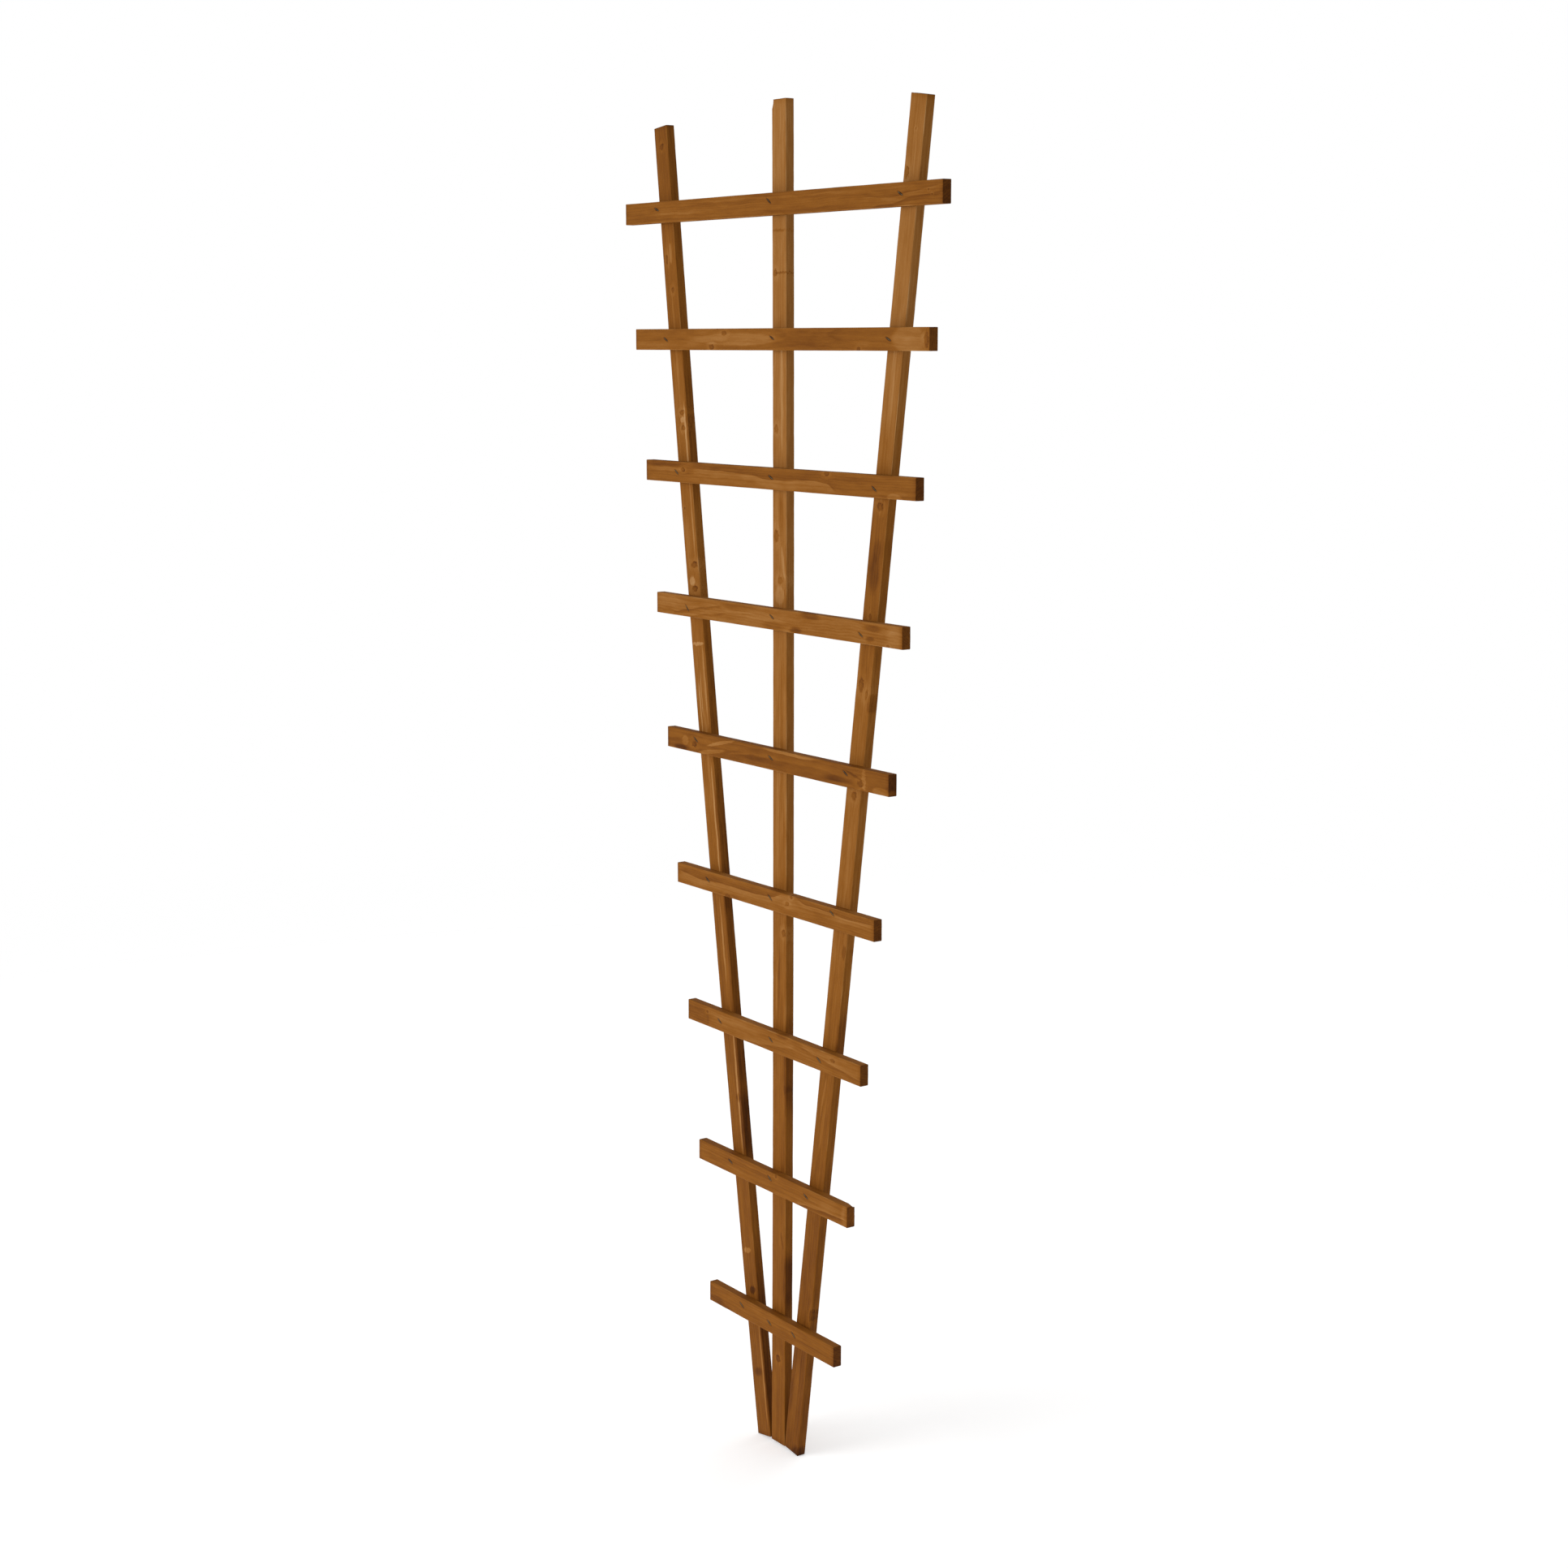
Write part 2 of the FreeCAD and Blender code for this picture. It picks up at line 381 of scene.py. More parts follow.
class Graph:
    """Adds nodes to a tree. A value that goes into a socket is a number, a tuple or a socket."""

    def __init__(self, tree):
        self.tree = tree

    def put(self, socket, value):
        """Links a socket to another one, or sets its value."""
        if isinstance(value, bpy.types.NodeSocket):
            self.tree.links.new(value, socket)
        elif value is not None:
            socket.default_value = value

    def node(self, kind, inputs=(), **settings):
        node = self.tree.nodes.new(kind)
        for name, value in settings.items():
            setattr(node, name, value)
        for key, value in dict(inputs).items():
            self.put(node.inputs[key], value)
        return node

    def math(self, operation, a, b=None, c=None):
        node = self.node("ShaderNodeMath", operation=operation)
        for socket, value in zip(node.inputs, (a, b, c)):
            self.put(socket, value)
        return node.outputs[0]

    def vector(self, operation, a, b=None):
        node = self.node("ShaderNodeVectorMath", operation=operation)
        for socket, value in zip(node.inputs, (a, b)):
            self.put(socket, value)
        return node.outputs[0]

    def split(self, vector):
        return self.node("ShaderNodeSeparateXYZ", {"Vector": vector}).outputs

    def join(self, x, y, z):
        return self.node("ShaderNodeCombineXYZ", {"X": x, "Y": y, "Z": z}).outputs[0]

    def distance(self, a, b):
        """How far out a point is, from how far it is in two directions."""
        square = self.math("ADD", self.math("MULTIPLY", a, a), self.math("MULTIPLY", b, b))
        return self.math("SQRT", square)

    def step(self, value, start, end, low=0.0, high=1.0):
        """A smooth step from low to high as value goes from start to end."""
        node = self.node("ShaderNodeMapRange", {
            "Value": value, "From Min": start, "From Max": end, "To Min": low, "To Max": high,
        }, interpolation_type="SMOOTHSTEP")
        return node.outputs[0]

    def noise(self, vector, scale, seed, detail=2.0, roughness=0.5):
        """Noise, mostly from -1 to 1. scale is how many millimetres a wave takes along u, v, w."""
        stretched = self.vector("MULTIPLY", vector, tuple(1 / s for s in scale))
        node = self.node("ShaderNodeTexNoise", {
            "Vector": stretched, "W": seed, "Scale": 1.0, "Detail": detail, "Roughness": roughness,
        }, noise_dimensions="4D")
        return self.math("MULTIPLY_ADD", node.outputs["Fac"], 4.0, -2.0)


def new_group(name, inputs, outputs):
    """Starts a node group, whose sockets are given as name and default value."""
    tree = bpy.data.node_groups.new(name, "ShaderNodeTree")
    for in_out, sockets in (("INPUT", inputs), ("OUTPUT", outputs)):
        for socket_name, value in sockets:
            kind = "NodeSocketVector" if isinstance(value, tuple) else "NodeSocketFloat"
            socket = tree.interface.new_socket(socket_name, in_out=in_out, socket_type=kind)
            socket.default_value = value
    graph = Graph(tree)
    return graph, graph.node("NodeGroupInput").outputs, graph.node("NodeGroupOutput").inputs


# ---------------------------------------------------------------- wood

def mark_group():
    """Adds a soft streak or patch to the tone."""
    graph, given, result = new_group(
        "mark",
        (("Place", (0, 0, 0)), ("Tone", 0.0), ("U", 0.0), ("V", 0.0), ("Half length", 1.0),
         ("Half height", 1.0), ("Slope", 0.0), ("Amount", 0.0), ("Softness", SOFT)),
        (("Tone", 0.0),),
    )
    u, v, _ = graph.split(given["Place"])
    along = graph.math("SUBTRACT", u, given["U"])
    sunk = graph.math("MULTIPLY", given["Slope"], along)
    across = graph.math("SUBTRACT", graph.math("SUBTRACT", v, given["V"]), sunk)
    far_u = graph.math("DIVIDE", along, given["Half length"])
    far_v = graph.math("DIVIDE", across, given["Half height"])
    far = graph.distance(far_u, far_v)
    outer = graph.math("ADD", given["Softness"], 1.0)
    inner = graph.math("SUBTRACT", 1.0, given["Softness"])
    inside = graph.step(far, outer, inner)
    graph.put(result["Tone"], graph.math("MULTIPLY_ADD", inside, given["Amount"], given["Tone"]))
    return graph.tree


def knot_group():
    """Adds a knot: a dark core with a darker rim, a pale surround, and grain that bends round it."""
    graph, given, result = new_group(
        "knot",
        (("Place", (0, 0, 0)), ("Tone", 0.0), ("Wobble", 0.0), ("U", 0.0), ("V", 0.0),
         ("Half length", 1.0), ("Half height", 1.0), ("Amount", 0.0)),
        (("Place", (0, 0, 0)), ("Tone", 0.0)),
    )
    u, v, w = graph.split(given["Place"])
    across = graph.math("SUBTRACT", v, given["V"])
    far_u = graph.math("DIVIDE", graph.math("SUBTRACT", u, given["U"]), given["Half length"])
    far_v = graph.math("DIVIDE", across, given["Half height"])
    far = graph.math("MULTIPLY_ADD", given["Wobble"], KNOT_WOBBLE, graph.distance(far_u, far_v))
    core = graph.step(far, *KNOT_CORE)
    from_rim = graph.math("ABSOLUTE", graph.math("SUBTRACT", far, KNOT_RIM))
    one_sided = graph.math("MULTIPLY_ADD", far_v, KNOT_RIM_BELOW, KNOT_RIM_MEAN)
    one_sided = graph.math("MULTIPLY_ADD", far_u, KNOT_RIM_RIGHT, one_sided)
    rim = graph.math("MULTIPLY", graph.step(from_rim, KNOT_RIM_WIDTH, 0.0), one_sided)
    surround = graph.math("SUBTRACT", graph.step(far, *KNOT_SURROUND), core)
    wave = graph.math("SINE", graph.math("MULTIPLY", far, KNOT_RING_TURN))
    rings = graph.math("MULTIPLY", wave, core)
    depth = graph.math("MULTIPLY_ADD", rings, KNOT_RING_TONE, graph.math("MULTIPLY", core, KNOT_CORE_TONE))
    depth = graph.math("MULTIPLY_ADD", rim, KNOT_RIM_TONE, depth)
    tone = graph.math("MULTIPLY_ADD", depth, given["Amount"], given["Tone"])
    graph.put(result["Tone"], graph.math("MULTIPLY_ADD", surround, KNOT_SURROUND_TONE, tone))
    pull = graph.math("MULTIPLY", graph.step(far, KNOT_REACH, 0.0), KNOT_PULL)
    graph.put(result["Place"], graph.join(u, graph.math("MULTIPLY_ADD", across, pull, v), w))
    return graph.tree


def grain_group():
    """Annual rings, fibres and blotches of sawn softwood. Height is for the bump."""
    graph, given, result = new_group(
        "grain",
        (("Place", (0, 0, 0)), ("Pith", (0, 0, 0)), ("Seed", 0.0)),
        (("Tone", 0.0), ("Height", 0.0)),
    )
    place, seed = given["Place"], given["Seed"]
    bend = graph.noise(place, (260, 400, 400), seed, detail=1.0)
    ripple = graph.noise(place, (34, 9, 9), seed)
    flat = graph.vector("MULTIPLY", graph.vector("SUBTRACT", place, given["Pith"]), (0.0, 1.0, 1.0))
    radius = graph.node("ShaderNodeVectorMath", {0: flat}, operation="LENGTH").outputs["Value"]
    radius = graph.math("MULTIPLY_ADD", ripple, RING_RIPPLE, radius)
    radius = graph.math("MULTIPLY_ADD", bend, RING_BEND, radius)
    years = graph.noise(graph.join(radius, 0.0, 0.0), (11, 1, 1), seed)
    even_years = graph.math("DIVIDE", radius, YEAR)
    year = graph.math("FRACT", graph.math("MULTIPLY_ADD", years, YEAR_VARIATION, even_years))
    late = graph.math("MULTIPLY", graph.math("POWER", year, 3.0), graph.step(year, 1.0, 0.86))
    strength = graph.math("MULTIPLY_ADD", graph.noise(place, (120, 30, 30), seed), 0.35, 0.75)
    rings = graph.math("MULTIPLY", late, strength)
    streaks = graph.noise(place, (120, 2.6, 2.6), seed)
    fibres = graph.noise(place, (26, 0.55, 0.55), seed, detail=3.0)
    blotches = graph.noise(place, (40, 8, 8), seed, detail=3.0, roughness=0.6)
    tone = graph.math("MULTIPLY", rings, RING_TONE)
    tone = graph.math("MULTIPLY_ADD", streaks, STREAK_TONE, tone)
    tone = graph.math("MULTIPLY_ADD", fibres, FIBRE_TONE, tone)
    tone = graph.math("MULTIPLY_ADD", blotches, BLOTCH_TONE, tone)
    graph.put(result["Tone"], tone)
    graph.put(result["Height"], graph.math("MULTIPLY_ADD", fibres, 0.5, rings))
    return graph.tree


def linear(number):
    """A linear colour value for an sRGB number out of 255."""
    share = number / 255
    return share / 12.92 if share <= 0.04045 else ((share + 0.055) / 1.055) ** 2.4


def tone_share(tone):
    """Where a tone lies between the lowest and the highest, which a ramp needs."""
    return (tone - TONE_LOW) / (TONE_HIGH - TONE_LOW)


def fill_ramp(ramp, stops):
    """Sets a colour ramp's stops from places between 0 and 1 and linear colours."""
    while len(ramp.elements) < len(stops):
        ramp.elements.new(0.5)
    for element, (place, colour) in zip(ramp.elements, stops):
        element.position = place
        element.color = (*colour, 1.0)


def growth_line(graph, place, line, width):
    """The tone on the two sides of a line in the figure, where one layer of wood meets another."""
    points, above, below, reach = line
    first, last = points[0][0], points[-1][0]
    u, v, _ = graph.split(place)
    share = graph.math("DIVIDE", graph.math("SUBTRACT", u, first), last - first)
    ramp = graph.node("ShaderNodeValToRGB", {"Fac": share})
    fill_ramp(ramp.color_ramp, [((at - first) / (last - first), (height,) * 3) for at, height in points])
    ramp.color_ramp.interpolation = "EASE"
    height = graph.split(ramp.outputs["Color"])[0]
    below_line = graph.math("SUBTRACT", v, graph.math("MULTIPLY_ADD", height, width, -width / 2))
    side = graph.step(below_line, -LINE_BLUR, LINE_BLUR, above, below)
    near = graph.step(graph.math("ABSOLUTE", below_line), reach, 0.0)
    begun = graph.step(share, 0.0, LINE_END)
    not_over = graph.step(share, 1.0, 1.0 - LINE_END)
    ends = graph.math("MULTIPLY", begun, not_over)
    return graph.math("MULTIPLY", side, graph.math("MULTIPLY", near, ends))


def softwood(name, figure, length, width, seed, dents, groups):
    """The golden-brown dipped softwood of one lath, with that lath's own figure."""
    material = bpy.data.materials.new(f"softwood_{name}")
    material.use_nodes = True
    tree = material.node_tree
    tree.nodes.clear()
    graph = Graph(tree)
    exact = graph.node("ShaderNodeAttribute", attribute_name="lath_place").outputs["Vector"]
    sway = graph.noise(exact, (30, 12, 12), seed)
    fray = graph.noise(exact, (60, 1.6, 1.6), seed + 3)
    small = graph.join(graph.math("MULTIPLY", fray, FRAY), graph.math("MULTIPLY", sway, SWAY), 0.0)
    swayed = graph.vector("ADD", exact, small)
    frayed = graph.vector("ADD", swayed, graph.join(graph.math("MULTIPLY", fray, MARK_FRAY), 0.0, 0.0))
    wobble = graph.noise(exact, (4, 3, 3), seed)

    def across(share):
        return (share - 0.5) * width

    tones = figure["tones"]
    stops = [(n / (len(tones) - 1), (tone_share(tone),) * 3) for n, tone in enumerate(tones)]
    ramp = graph.node("ShaderNodeValToRGB", {"Fac": graph.math("DIVIDE", graph.split(exact)[0], length)})
    fill_ramp(ramp.color_ramp, stops)
    share = graph.split(ramp.outputs["Color"])[0]
    tone = graph.math("MULTIPLY_ADD", share, TONE_HIGH - TONE_LOW, TONE_LOW)
    for softness, kind in ((SOFT, "marks"), (CRISP, "patches")):
        for u, v, half_u, half_v, slope, amount in figure.get(kind, ()):
            tone = graph.node("ShaderNodeGroup", {
                "Place": frayed, "Tone": tone, "U": u, "V": across(v), "Half length": half_u,
                "Half height": half_v * width, "Slope": slope, "Amount": amount, "Softness": softness,
            }, node_tree=groups["mark"]).outputs["Tone"]
    for line in figure.get("lines", ()):
        tone = graph.math("ADD", tone, growth_line(graph, swayed, line, width))
    # Painted shadow, partly a tannin stain, darkens the wood round each staple's crown
    for start, end in dents:
        middle = (start + end) / 2
        tone = graph.node("ShaderNodeGroup", {
            "Place": exact, "Tone": tone, "U": middle.x, "V": middle.y,
            "Half length": abs(end.x - start.x) / 2 + DENT_SHADOW_MARGIN, "Half height": DENT_SHADOW_HALF_HEIGHT,
            "Slope": (end.y - start.y) / (end.x - start.x), "Amount": DENT_SHADOW_AND_STAIN_TONE, "Softness": SOFT,
        }, node_tree=groups["mark"]).outputs["Tone"]
    place = swayed
    for u, v, half_u, half_v, amount in figure["knots"]:
        knot = graph.node("ShaderNodeGroup", {
            "Place": place, "Tone": tone, "Wobble": wobble, "U": u, "V": across(v),
            "Half length": half_u, "Half height": half_v, "Amount": amount,
        }, node_tree=groups["knot"])
        place, tone = knot.outputs["Place"], knot.outputs["Tone"]
    grain = graph.node("ShaderNodeGroup", {
        "Place": place, "Pith": (0.0, *figure["pith"]), "Seed": seed,
    }, node_tree=groups["grain"])
    tone = graph.math("ADD", tone, grain.outputs["Tone"])

    # Long edges are rubbed paler here and there
    u, v, w = graph.split(exact)
    out_v = graph.math("SUBTRACT", graph.math("ABSOLUTE", v), width / 2 - RUBBED_BAND)
    out_w = graph.math("SUBTRACT", graph.math("ABSOLUTE", w), DEPTH / 2 - RUBBED_BAND)
    edge = graph.step(graph.math("MINIMUM", out_v, out_w), 0.1, 0.9)
    chance = graph.noise(exact, (45, 40, 40), seed + 7, detail=3.0)
    rubbed = graph.step(chance, -0.5, 0.9, *RUBBED_TONE)
    tone = graph.math("MULTIPLY_ADD", edge, rubbed, tone)

    # The ends drank more of the treatment
    from_middle = graph.math("ABSOLUTE", graph.math("SUBTRACT", u, length / 2))
    end = graph.step(from_middle, *(length / 2 - depth for depth in END_GRAIN))
    soaked = graph.step(from_middle, length / 2 - SOAKED_BAND, length / 2, 0.0, SOAKED_TONE)
    tone = graph.math("ADD", tone, soaked)
    tone = graph.math("MULTIPLY_ADD", end, END_GRAIN_TONE, tone)

    share = graph.math("DIVIDE", graph.math("SUBTRACT", tone, TONE_LOW), TONE_HIGH - TONE_LOW)
    colour = graph.node("ShaderNodeValToRGB", {"Fac": share})
    fill_ramp(colour.color_ramp, [(tone_share(t), tuple(map(linear, c))) for t, c in TONE_COLOURS])
    bump = graph.node("ShaderNodeBump", {
        "Height": grain.outputs["Height"], "Strength": 0.45, "Distance": 0.3 * MM,
    })
    shader = graph.node("ShaderNodeBsdfPrincipled", {
        "Base Color": colour.outputs["Color"],
        "Roughness": graph.step(tone, -1.0, 1.0, 0.62, 0.8),
        "Specular IOR Level": 0.06,
        "Normal": bump.outputs["Normal"],
    })
    output = graph.node("ShaderNodeOutputMaterial")
    graph.put(output.inputs["Surface"], shader.outputs["BSDF"])
    return material


# ---------------------------------------------------------------- staples

DULL_ZINC = (0.11, 0.088, 0.042, 1)
BROWNED_ZINC = (0.032, 0.02, 0.008, 1)


def staple_wire():
    """Dull zinc-coated wire, browned in patches by the wood treatment."""
    material = bpy.data.materials.new("staple_wire")
    material.use_nodes = True
    tree = material.node_tree
    tree.nodes.clear()
    graph = Graph(tree)
    place = graph.node("ShaderNodeTexCoord").outputs["Object"]
    in_mm = graph.vector("MULTIPLY", place, (1 / MM,) * 3)
    stain = graph.step(graph.noise(in_mm, (6, 6, 3), 1.0, detail=3.0), -0.4, 0.8)
    specks = graph.noise(in_mm, (0.6, 0.6, 0.6), 2.0, detail=3.0)
    colour = graph.node("ShaderNodeMix", {
        "Factor": stain, "A": DULL_ZINC, "B": BROWNED_ZINC,
    }, data_type="RGBA")
    bump = graph.node("ShaderNodeBump", {"Height": specks, "Strength": 0.5, "Distance": 0.08 * MM})
    shader = graph.node("ShaderNodeBsdfPrincipled", {
        "Base Color": colour.outputs["Result"],
        "Metallic": 0.5,
        "Roughness": graph.step(specks, -1.0, 1.0, 0.45, 0.65),
        "Normal": bump.outputs["Normal"],
    })
    output = graph.node("ShaderNodeOutputMaterial")
    graph.put(output.inputs["Surface"], shader.outputs["BSDF"])
    return material


def crowns(node):
    """The two ends of each staple's crown, in the row frame."""
    places = [vertex.co.copy() for vertex in node.data.vertices]
    front = min(place.y for place in places)
    points = [place for place in places if place.y < front + CROWN_DEPTH * MM]
    points.sort(key=lambda point: point.x)
    found = [[points[0]]]
    for before, point in zip(points, points[1:]):
        if point.x - before.x > CROWN_GAP * MM:
            found.append([])
        found[-1].append(point)
    return [(crown[0], crown[-1]) for crown in found]


# ---------------------------------------------------------------- lath geometry

def face_points(half, step):
    """Even places across a flat face, without its two arrises."""
    count = round(2 * (half - ARRIS) / step)
    return [-half + ARRIS + 2 * (half - ARRIS) * n / count for n in range(count + 1)]


def section(width):
    """The outline of a lath as (v, w, way out across, way out forward, on an arris)."""
    half_v, half_w = width / 2, DEPTH / 2
    across, through = face_points(half_v, FACE_STEP), face_points(half_w, 2 * FACE_STEP)
    points = []

    def arris(side_v, side_w, start):
        for turn in ARRIS_TURNS:
            angle = math.radians(start - turn)
            out_v, out_w = math.cos(angle), math.sin(angle)
            centre_v, centre_w = side_v * (half_v - ARRIS), side_w * (half_w - ARRIS)
            points.append((centre_v + ARRIS * out_v, centre_w + ARRIS * out_w, out_v, out_w, True))

    points.extend((v, half_w, 0, 1, False) for v in across)
    arris(1, 1, 90)
    points.extend((half_v, w, 1, 0, False) for w in reversed(through))
    arris(1, -1, 0)
    points.extend((v, -half_w, 0, -1, False) for v in reversed(across))
    arris(-1, -1, -90)
    points.extend((-half_v, w, -1, 0, False) for w in through)
    arris(-1, 1, -180)
    return points


def stations(length, crown_middles):
    """Places along a lath, closer together by the staples and at the ends."""
    last = length - END_PLACES[-1] - END_GAP
    places = list(END_PLACES)
    while places[-1] < last:
        near = min((abs(places[-1] - u) for u in crown_middles), default=length)
        places.append(places[-1] + (STAPLE_STEP if near < STAPLE_REACH else STATION_STEP))
    return [u for u in places if u < last] + [length - u for u in reversed(END_PLACES)]


def from_segment(point, start, end):
    """How far a point is from the line between two others."""
    line = end - start
    share = max(0.0, min(1.0, (point - start).dot(line) / line.length_squared))
    return (point - start - line * share).length


def shaped(name, width, dents, seed, u, point):
    """One point of a lath's skin after sawing, wear, chips and staples."""
    v, w, out_v, out_w, on_arris = point
    here = Vector((u / 38, v / 9, w / 9 + seed * 5.3))
    finer = Vector((u / 5, v / 2.4, w / 2.4 + seed * 3.1))
    out = FACE_WAVES * noise.noise(here) + FACE_GRIT * noise.noise(finer)
    if on_arris:
        wear = noise.noise(Vector((u / 17, out_v * 2 + seed, out_w * 2)))
        nick = noise.noise(Vector((u / 3, out_v, seed)))
        out -= ARRIS_WEAR * max(0.0, wear) ** 1.5 + ARRIS_NICKS * max(0.0, nick)
    if w > FRONT_FACE:
        for start, end in dents:
            gap = from_segment(Vector((u, v)), start, end)
            out -= DENT_DEPTH * math.exp(-(gap / DENT_RADIUS) ** 2)
    v += out * out_v
    w += out * out_w
    for middle, reach, side_v, side_w, cut_v, cut_w in CHIPS.get(name, ()):
        gone = max(0.0, 1 - ((u - middle) / reach) ** 2) ** 0.5
        gone *= 1 + CHIP_RAGGEDNESS * noise.noise(Vector((u / 3, v / 3, w / 3)))
        missing = gone - (width / 2 - side_v * v) / cut_v - (DEPTH / 2 - side_w * w) / cut_w
        if missing > 0:
            v -= side_v * cut_v * missing / 2
            w -= side_w * cut_w * missing / 2
    return v, w


def bridge(mesh, before, after):
    """Faces from one loop of points to the next."""
    for n in range(len(before)):
        mesh.faces.new((before[n - 1], before[n], after[n], after[n - 1]))


def add_cap(mesh, rim, u, seed, place_layer, bent):
    """Closes a sawn end with loops that shrink to a point, slightly uneven."""
    ring = rim
    far_end = 1 if u > 0 else 0
    for share in CAP_LOOPS:
        loop = []
        for vertex in rim:
            _, v, w = vertex[place_layer]
            v, w = v * share, w * share
            rough = END_ROUGHNESS * noise.noise(Vector((v / 2, w / 2, seed * 7.7 + far_end)))
            loop.append(new_point(mesh, place_layer, (u, v, w), bent(u + rough, v, w)))
        bridge(mesh, ring, loop)
        ring = loop
    middle = new_point(mesh, place_layer, (u, 0, 0), bent(u, 0, 0))
    for n in range(len(rim)):
        mesh.faces.new((ring[n - 1], ring[n], middle))


def new_point(mesh, place_layer, place, position):
    """A point of the skin that remembers its place on the lath."""
    vertex = mesh.verts.new(position)
    vertex[place_layer] = place
    return vertex


def add_lath(name, matrix, length, width, bow, seed, groups):
    """The sawn, worn lath that stands for one CAD node."""
    inverse = matrix.inverted()
    dents = []
    if name.startswith("cross"):
        for ends in crowns(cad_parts[f"{name}_staples"]):
            local = [inverse @ end / MM for end in ends]
            dents.append(tuple(Vector((end.x, end.z)) for end in local))

    def bent(u, v, w):
        """The local position, in metres, of a place on the lath after it bows."""
        share = u / length
        shift = 4 * bow * share * (1 - share)
        turn = 4 * bow / length * (1 - 2 * share)
        return Vector((u - v * turn, w, v + shift)) * MM

    mesh = bmesh.new()
    place_layer = mesh.verts.layers.float_vector.new("lath_place")
    outline = section(width)
    rings = []
    middles = [(start.x + end.x) / 2 for start, end in dents]
    for u in stations(length, middles):
        ring = []
        inset = END_EASE if u in (0.0, length) else 0.0
        for point in outline:
            v, w = shaped(name, width, dents, seed, u, point)
            v -= inset * point[2]
            w -= inset * point[3]
            ragged = END_RAGGEDNESS * noise.noise(Vector((v, w, seed + u))) if inset else 0.0
            place = (u, point[0], point[1])
            ring.append(new_point(mesh, place_layer, place, bent(u + ragged, v, w)))
        rings.append(ring)
    for before, after in zip(rings, rings[1:]):
        bridge(mesh, before, after)
    for face in mesh.faces:
        face.smooth = True
    add_cap(mesh, rings[0], 0.0, seed, place_layer, bent)
    add_cap(mesh, rings[-1], length, seed, place_layer, bent)
    bmesh.ops.recalc_face_normals(mesh, faces=mesh.faces)
    data = bpy.data.meshes.new(f"{name}_sawn")
    mesh.to_mesh(data)
    mesh.free()
    lath = bpy.data.objects.new(f"{name}_sawn", data)
    lath.matrix_world = matrix
    bpy.context.scene.collection.objects.link(lath)
    data.materials.append(softwood(name, FIGURE[name], length, width, seed, dents, groups))
    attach(lath, "root")
    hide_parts(name)


def lath_matrix(origin, along):
    """The frame of a lath: X along it, Y to the front, Z across its face."""
    front = Vector((0, -1, 0))
    across = along.cross(front)
    matrix = Matrix((along, front, across)).transposed().to_4x4()
    matrix.translation = origin
    return matrix


def add_laths(groups):
    """A sawn lath for each batten, placed by its CAD node, and for each upright."""
    for number in range(1, BATTENS + 1):
        name = f"cross_batten_{number}"
        low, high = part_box(name)
        turn = math.radians(BATTEN_TIP if number > BATTENS - TIPPED_BATTENS else 0)
        length = ((high.x - low.x) / MM - BATTEN_HEIGHT * abs(math.sin(turn))) / math.cos(turn)
        along = Vector((math.cos(turn), 0, -math.sin(turn)))
        left_end = (low + high) / 2 - along * length / 2 * MM
        add_lath(name, lath_matrix(left_end, along), length, BATTEN_HEIGHT, 0.0, float(number), groups)
    for number, (name, (length, foot_x, foot_z, lean, bow)) in enumerate(UPRIGHT_PLACES.items()):
        turn = math.radians(lean)
        along = Vector((math.sin(turn), 0, math.cos(turn)))
        foot = Vector((foot_x, DEPTH / 2, foot_z)) * MM
        seed = FIRST_UPRIGHT_SEED + number
        add_lath(name, lath_matrix(foot, along), length, UPRIGHT_WIDTH, bow, seed, groups)


def add_staples():
    """Gives the CAD staples the look of wire."""
    wire = staple_wire()
    for name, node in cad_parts.items():
        if name.endswith("_staples"):
            node.data.materials.clear()
            node.data.materials.append(wire)
            for face in node.data.polygons:
                face.use_smooth = True


# ---------------------------------------------------------------- studio

LIGHT_AIM = Vector((0, 0, 0.9))
LIGHT_DISTANCE = 4.0
LIGHT_SIZE = 2.6
LIGHTS = (                         # name, degrees of azimuth and elevation, power in watts
    ("key", -14, 12, 84),
    ("fill_behind", 200, 20, 25),
)
AMBIENT = 0.55
FLOOR_RADIUS = 7.0
FLOOR_GAP = 0.0005                 # below the feet
FADE_START = 1.0                   # where the floor begins to fade, from the middle
FADE_END = 4.5


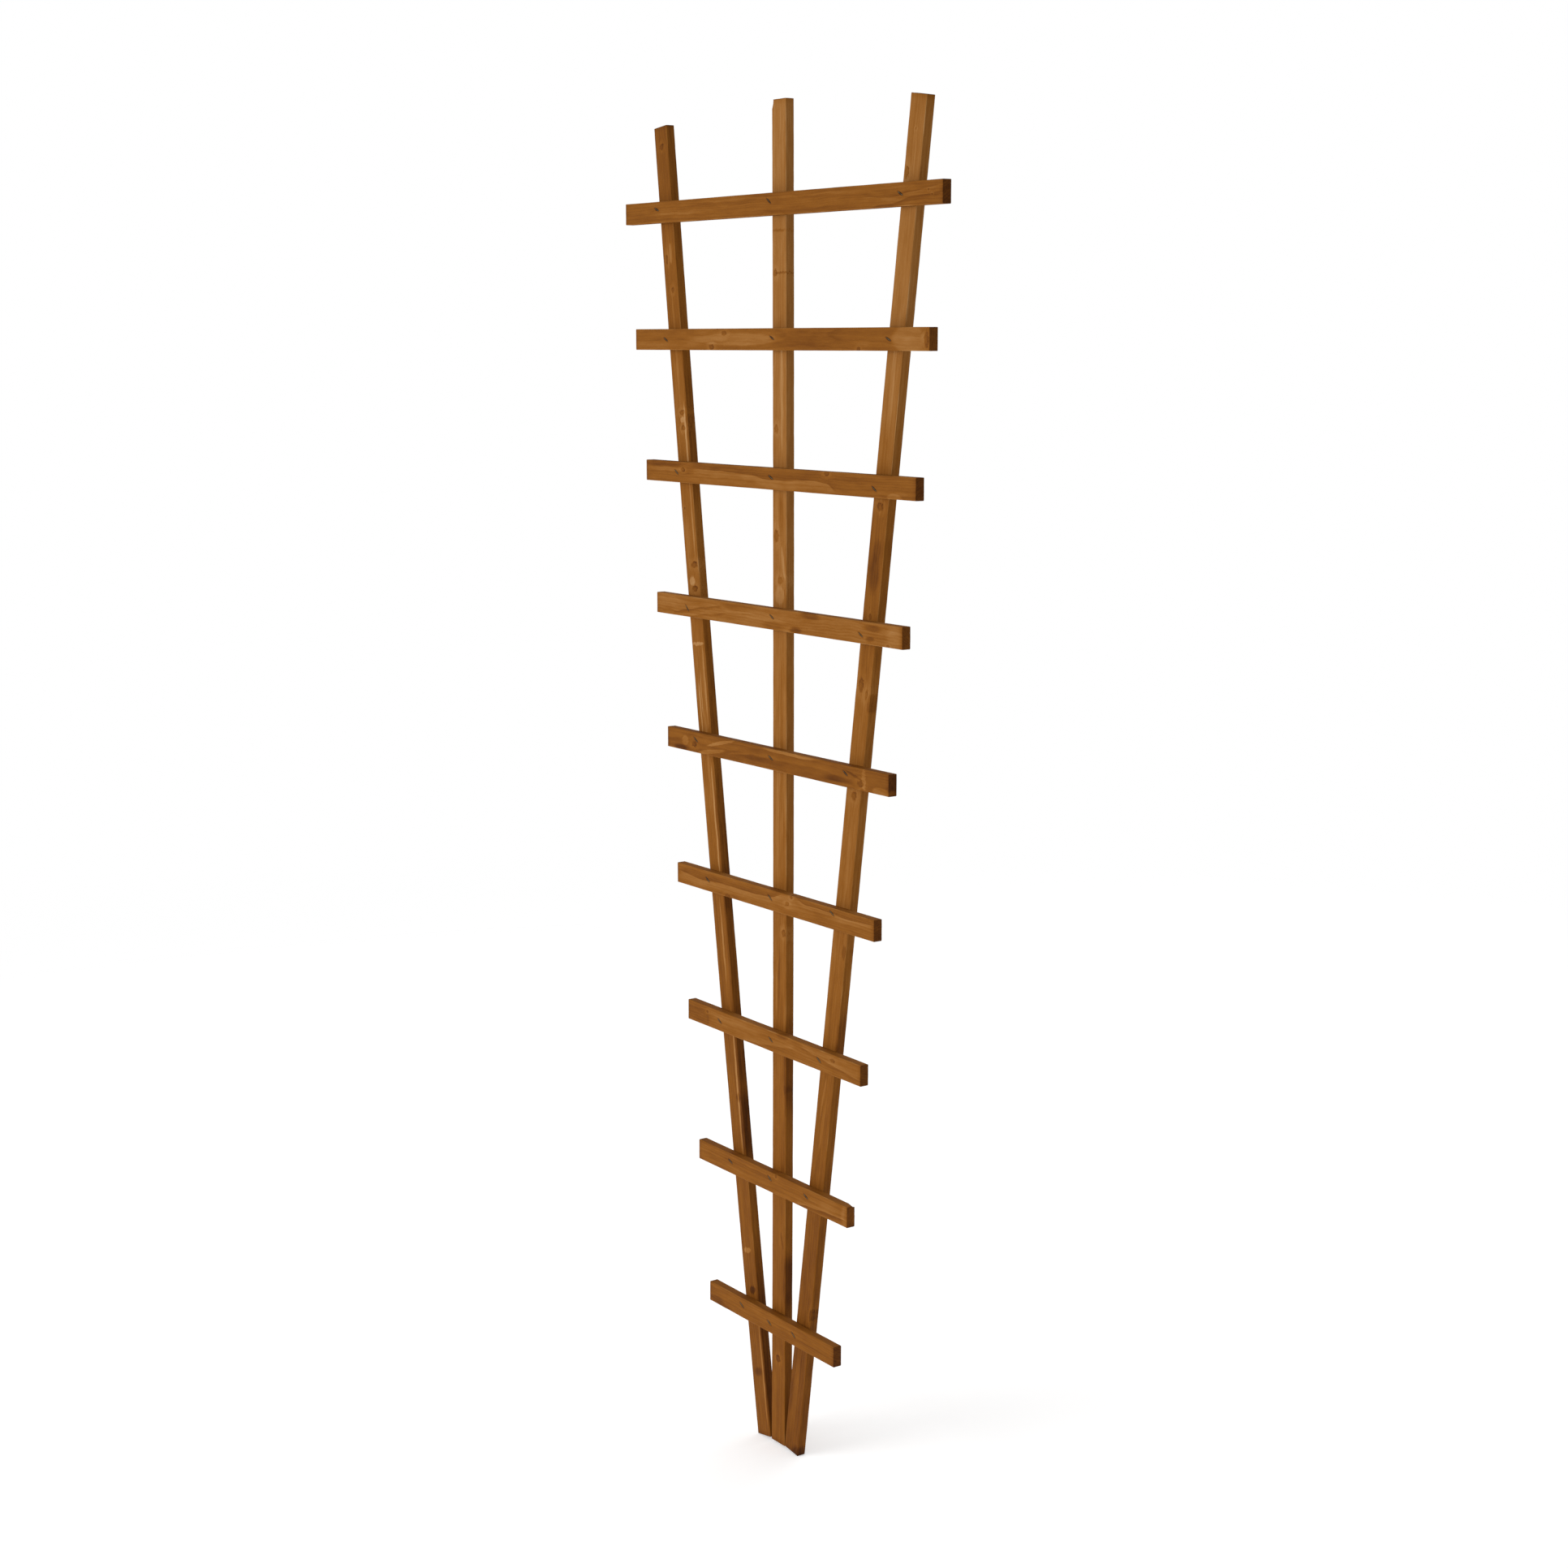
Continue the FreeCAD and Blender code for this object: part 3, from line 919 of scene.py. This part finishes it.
def add_world():
    """A white studio all round: bright to the camera, softer as a light."""
    world = bpy.data.worlds.new("studio")
    bpy.context.scene.world = world
    world.use_nodes = True
    world.node_tree.nodes.clear()
    graph = Graph(world.node_tree)
    seen = graph.node("ShaderNodeLightPath").outputs["Is Camera Ray"]
    strength = graph.math("MULTIPLY_ADD", seen, 1.0 - AMBIENT, AMBIENT)
    background = graph.node("ShaderNodeBackground", {"Color": (1, 1, 1, 1), "Strength": strength})
    output = graph.node("ShaderNodeOutputWorld")
    graph.put(output.inputs["Surface"], background.outputs["Background"])


def add_area_light(name, azimuth, elevation, power):
    light = bpy.data.lights.new(name, "AREA")
    light.shape = "DISK"
    light.size = LIGHT_SIZE
    light.energy = power
    lamp = bpy.data.objects.new(name, light)
    away = direction(math.radians(azimuth), math.radians(elevation))
    lamp.location = LIGHT_AIM + away * LIGHT_DISTANCE
    lamp.rotation_euler = away.to_track_quat("Z", "Y").to_euler()
    bpy.context.scene.collection.objects.link(lamp)


def add_floor():
    """A pale round floor whose rim fades into the white of the studio."""
    mesh = bmesh.new()
    bmesh.ops.create_circle(mesh, cap_ends=True, radius=FLOOR_RADIUS, segments=96)
    data = bpy.data.meshes.new("floor")
    mesh.to_mesh(data)
    mesh.free()
    floor = bpy.data.objects.new("floor", data)
    floor.location.z = bounds_at_load[0][2] - FLOOR_GAP
    bpy.context.scene.collection.objects.link(floor)
    material = bpy.data.materials.new("floor")
    material.use_nodes = True
    material.node_tree.nodes.clear()
    graph = Graph(material.node_tree)
    place = graph.node("ShaderNodeTexCoord").outputs["Object"]
    from_middle = graph.node("ShaderNodeVectorMath", {0: place}, operation="LENGTH").outputs["Value"]
    shader = graph.node("ShaderNodeBsdfPrincipled", {
        "Base Color": (0.9, 0.9, 0.9, 1),
        "Roughness": 0.9,
        "Specular IOR Level": 0.1,
        "Emission Color": (1, 1, 1, 1),
        "Emission Strength": 0.4,
    })
    clear = graph.node("ShaderNodeBsdfTransparent")
    fade = graph.step(from_middle, FADE_START, FADE_END)
    blend = graph.node("ShaderNodeMixShader", {
        0: fade, 1: shader.outputs["BSDF"], 2: clear.outputs["BSDF"],
    })
    output = graph.node("ShaderNodeOutputMaterial")
    graph.put(output.inputs["Surface"], blend.outputs["Shader"])
    data.materials.append(material)


bpy.context.scene.view_settings.view_transform = "Standard"
add_camera()
add_laths({"mark": mark_group(), "knot": knot_group(), "grain": grain_group()})
add_staples()
add_world()
for light in LIGHTS:
    add_area_light(*light)
add_floor()
